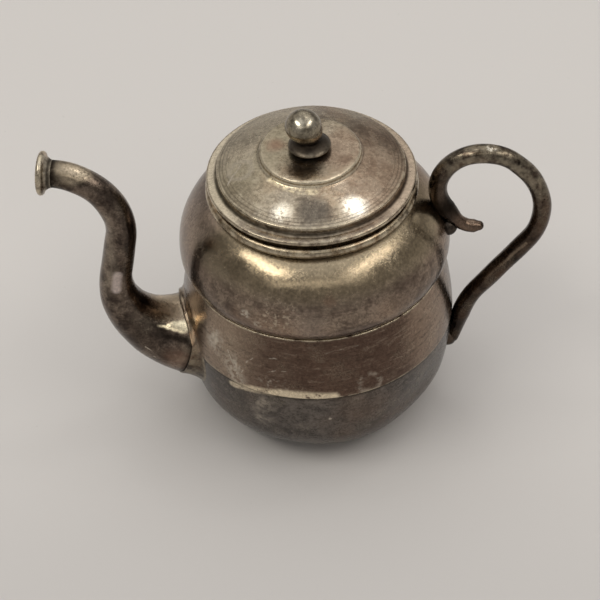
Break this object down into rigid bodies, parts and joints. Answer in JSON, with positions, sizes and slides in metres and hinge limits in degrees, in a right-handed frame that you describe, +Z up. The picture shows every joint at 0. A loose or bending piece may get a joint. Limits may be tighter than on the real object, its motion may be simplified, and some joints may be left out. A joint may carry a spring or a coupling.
{
  "type": "toy teapot",
  "caption": "Small sheet-metal toy teapot with a gourd-shaped body, swan-neck spout on a flared collar, wire scroll handle and a loose domed lid with a ball knob.",
  "frame": {"origin": "on the pot's axis, on the surface that the foot ring stands on", "axes": "+Z up along the pot's axis, +X along the handle; the spout is on the -X side, turned 14 degrees towards -Y"},
  "size_m": [0.1067, 0.0594, 0.0788],
  "materials": {
    "tarnished_sheet": "tarnished white metal, worn bright on its edges",
    "turned_lid": "tarnished white metal with fine turning marks",
    "worn_rim": "white metal worn to a shine",
    "dark_tube": "tarnished tube, pitted on top",
    "dark_wire": "tarnished drawn wire",
    "solder": "dull dark solder"
  },
  "bodies": {
    "pot": {"upper_body": "tarnished_sheet", "barrel": "tarnished_sheet", "base_bowl": "tarnished_sheet", "foot_ring": "tarnished_sheet", "mouth_ring": "worn_rim", "spout_collar": "tarnished_sheet", "spout_tube": "dark_tube", "spout_lip": "worn_rim", "handle": "dark_wire", "handle_upper_solder": "solder", "handle_lower_solder": "solder"},
    "lid": {"lid_cover": "turned_lid", "lid_flange": "turned_lid", "knob": "worn_rim"}
  },
  "joints": [
    {"name": "lid_lift", "type": "slide", "parent": "pot", "child": "lid", "axis": [0, 0, 1], "range_m": [0, 0.03]}
  ]
}
